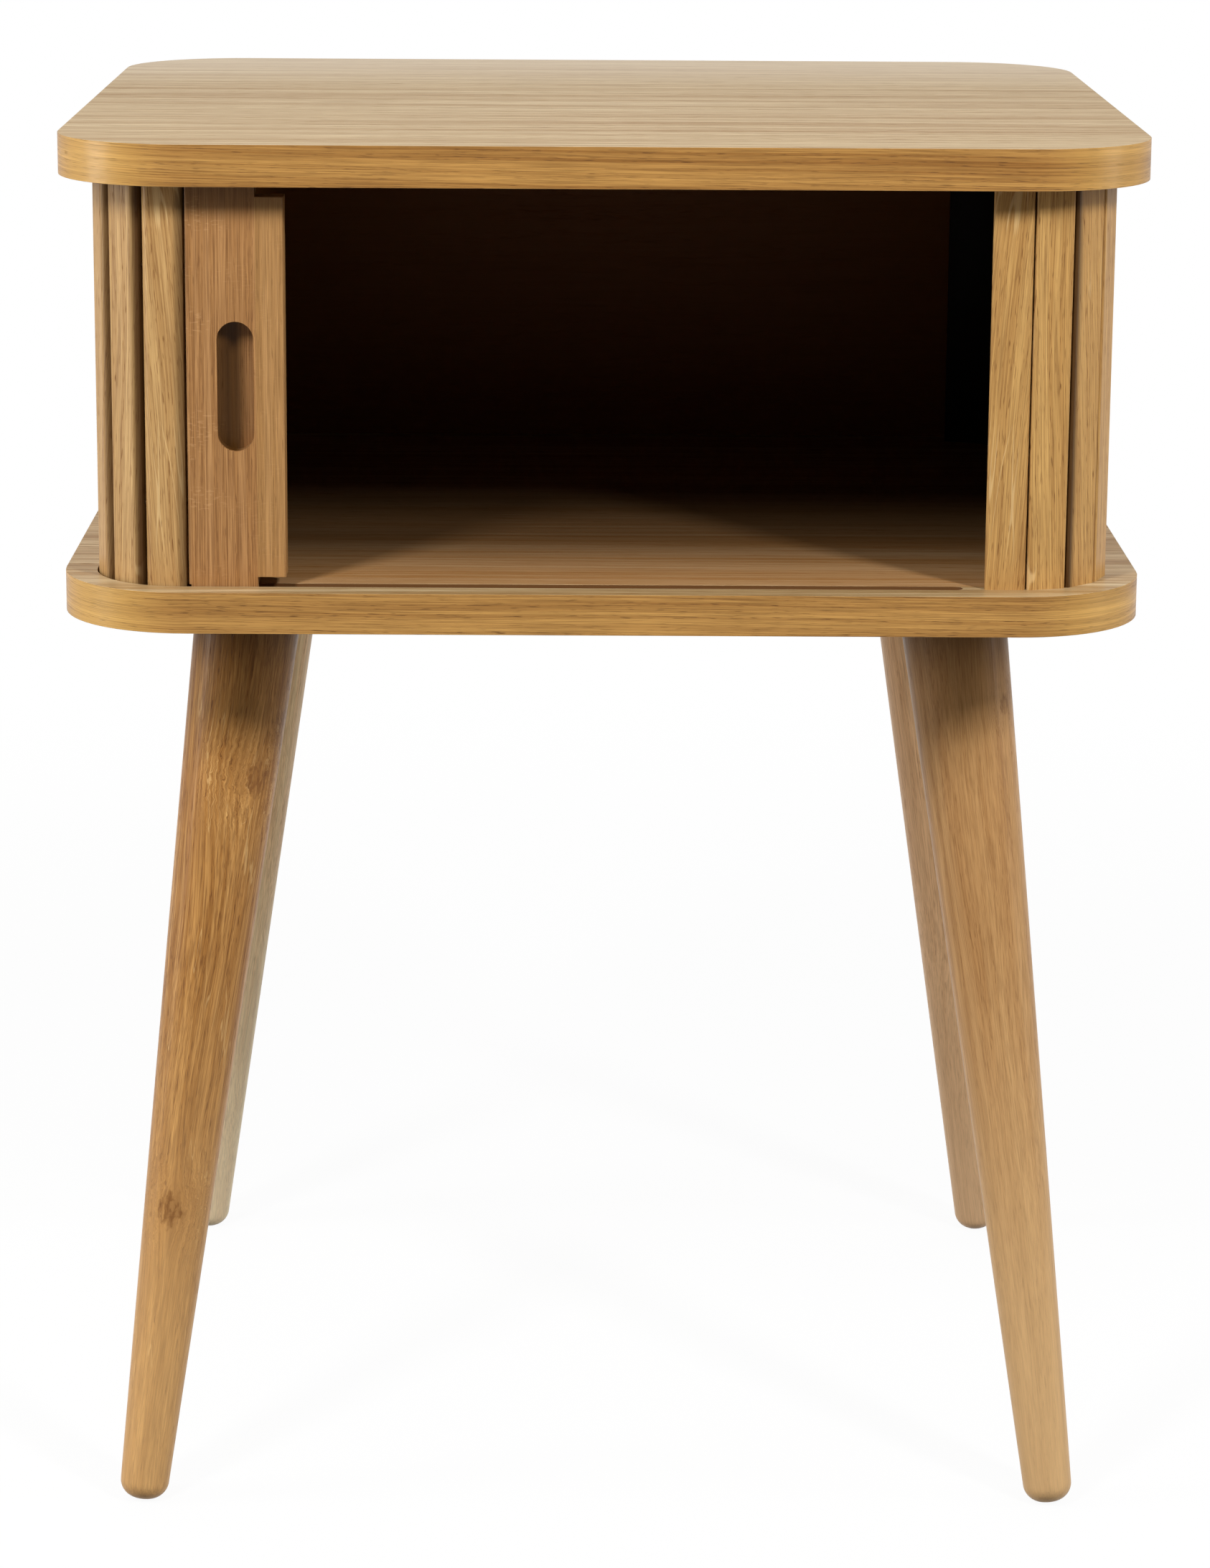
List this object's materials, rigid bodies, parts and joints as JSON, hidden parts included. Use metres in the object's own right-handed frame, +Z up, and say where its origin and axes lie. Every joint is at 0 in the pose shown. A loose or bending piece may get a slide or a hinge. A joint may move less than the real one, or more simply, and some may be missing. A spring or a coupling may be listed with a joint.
{
  "type": "bedside table",
  "caption": "Oak bedside table on splayed round legs, with a rounded compartment between two panels and a tambour door that slides round the corner",
  "frame": {"origin": "on the floor under the middle of the table", "axes": "+Z up, +X to the table's right as seen from the front, +Y to the back; the front with the door opening faces -Y"},
  "size_m": [0.45, 0.4, 0.59],
  "materials": {
    "oak_panel": "matt oiled oak, straight grain along the width",
    "oak_slat": "matt oiled oak, grain along the slat",
    "oak_handle": "matt oiled oak, slightly redder than the slats",
    "oak_leg": "matt oiled turned oak with small knots",
    "liner_black": "thin bent board, stained black",
    "cord_brown": "woven cord, dyed brown",
    "steel": "zinc plated steel",
    "beech": "raw beech dowel"
  },
  "bodies": {
    "cabinet": {"top_panel": "oak_panel", "bottom_panel": "oak_panel", "back_panel": "oak_panel", "liner_left": "liner_black", "liner_right": "liner_black", "fixed_slats_front_corner": "oak_slat", "fixed_slats_side": "oak_slat", "fixed_slats_rear_corner": "oak_slat", "leg_front_left": "oak_leg", "leg_front_right": "oak_leg", "leg_rear_left": "oak_leg", "leg_rear_right": "oak_leg", "leg_inserts": "steel", "hanger_bolts": "steel", "back_dowels": "beech"},
    "door": {"handle_slat": "oak_handle", "handle_cords": "cord_brown"},
    "slat_01": {"door_slat_01": "oak_slat", "door_cords_01": "cord_brown"},
    "slat_02": {"door_slat_02": "oak_slat", "door_cords_02": "cord_brown"},
    "slat_03": {"door_slat_03": "oak_slat", "door_cords_03": "cord_brown"},
    "slat_run": {"door_slat_04": "oak_slat", "door_slat_05": "oak_slat", "door_slat_06": "oak_slat", "door_slat_07": "oak_slat", "door_slat_08": "oak_slat", "door_slat_09": "oak_slat", "door_slat_10": "oak_slat", "door_slat_11": "oak_slat", "door_slat_12": "oak_slat", "door_slat_13": "oak_slat", "door_slat_14": "oak_slat", "door_slat_15": "oak_slat", "door_slat_16": "oak_slat", "door_cords_04": "cord_brown"},
    "slat_17": {"door_slat_17": "oak_slat", "door_cords_17": "cord_brown"},
    "slat_18": {"door_slat_18": "oak_slat", "door_cords_18": "cord_brown"},
    "slat_19": {"door_slat_19": "oak_slat", "door_cords_19": "cord_brown"},
    "slat_20": {"door_slat_20": "oak_slat", "door_cords_20": "cord_brown"},
    "slat_21": {"door_slat_21": "oak_slat", "door_cords_21": "cord_brown"},
    "slat_22": {"door_slat_22": "oak_slat", "door_cords_22": "cord_brown"}
  },
  "joints": [
    {"name": "door_slide", "type": "slide", "parent": "cabinet", "child": "door", "axis": [1, 0, 0], "range_m": [0, 0.2865], "deforming": ["door_slat_01", "door_cords_01", "door_slat_02", "door_cords_02", "door_slat_03", "door_cords_03", "door_slat_04", "door_slat_05", "door_slat_06", "door_slat_07", "door_slat_08", "door_slat_09", "door_slat_10", "door_slat_11", "door_slat_12", "door_slat_13", "door_slat_14", "door_slat_15", "door_slat_16", "door_cords_04", "door_slat_17", "door_cords_17", "door_slat_18", "door_cords_18", "door_slat_19", "door_cords_19", "door_slat_20", "door_cords_20", "door_slat_21", "door_cords_21", "door_slat_22", "door_cords_22"]},
    {"name": "bend_01", "type": "hinge", "parent": "door", "child": "slat_01", "pos_m": [-0.17517, -0.18237, 0.49], "axis": [0, 0, 1], "range_deg": [0, 13.11]},
    {"name": "bend_02", "type": "hinge", "parent": "door", "child": "slat_02", "pos_m": [-0.18407, -0.18095, 0.49], "axis": [0, 0, 1], "range_deg": [0, 41.03]},
    {"name": "bend_03", "type": "hinge", "parent": "door", "child": "slat_03", "pos_m": [-0.19298, -0.17801, 0.49], "axis": [0, 0, 1], "range_deg": [0, 68.95]},
    {"name": "bend_run", "type": "hinge", "parent": "door", "child": "slat_run", "pos_m": [-0.19969, -0.17469, 0.49], "axis": [0, 0, 1], "range_deg": [0, 90.01]},
    {"name": "bend_17", "type": "hinge", "parent": "slat_run", "child": "slat_17", "pos_m": [-0.20742, 0.08645, 0.49], "axis": [0, 0, 1], "range_deg": [-10.44, 0]},
    {"name": "bend_18", "type": "hinge", "parent": "slat_run", "child": "slat_18", "pos_m": [-0.20615, 0.09535, 0.49], "axis": [0, 0, 1], "range_deg": [-38.36, 0]},
    {"name": "bend_19", "type": "hinge", "parent": "slat_run", "child": "slat_19", "pos_m": [-0.20336, 0.10425, 0.49], "axis": [0, 0, 1], "range_deg": [-66.28, 0]},
    {"name": "bend_20", "type": "hinge", "parent": "slat_run", "child": "slat_20", "pos_m": [-0.19969, 0.11181, 0.49], "axis": [0, 0, 1], "range_deg": [-90.01, 0]},
    {"name": "bend_21", "type": "hinge", "parent": "slat_run", "child": "slat_21", "pos_m": [-0.2087, 0.09895, 0.49], "axis": [0, 0, 1], "range_deg": [-66.52, 0]},
    {"name": "bend_22", "type": "hinge", "parent": "slat_run", "child": "slat_22", "pos_m": [-0.24167, 0.05989, 0.49], "axis": [0, 0, 1], "range_deg": [-38.6, 0]}
  ],
  "couplings": [
    {"joint": "bend_01", "follows": "door_slide", "rad_per_m": 0.79793},
    {"joint": "bend_02", "follows": "door_slide", "rad_per_m": 2.4989},
    {"joint": "bend_03", "follows": "door_slide", "rad_per_m": 4.1999},
    {"joint": "bend_run", "follows": "door_slide", "rad_per_m": 5.4827},
    {"joint": "bend_17", "follows": "door_slide", "rad_per_m": -0.63547},
    {"joint": "bend_18", "follows": "door_slide", "rad_per_m": -2.3364},
    {"joint": "bend_19", "follows": "door_slide", "rad_per_m": -4.0374},
    {"joint": "bend_20", "follows": "door_slide", "rad_per_m": -5.4827},
    {"joint": "bend_21", "follows": "door_slide", "rad_per_m": -4.0517},
    {"joint": "bend_22", "follows": "door_slide", "rad_per_m": -2.3507}
  ]
}
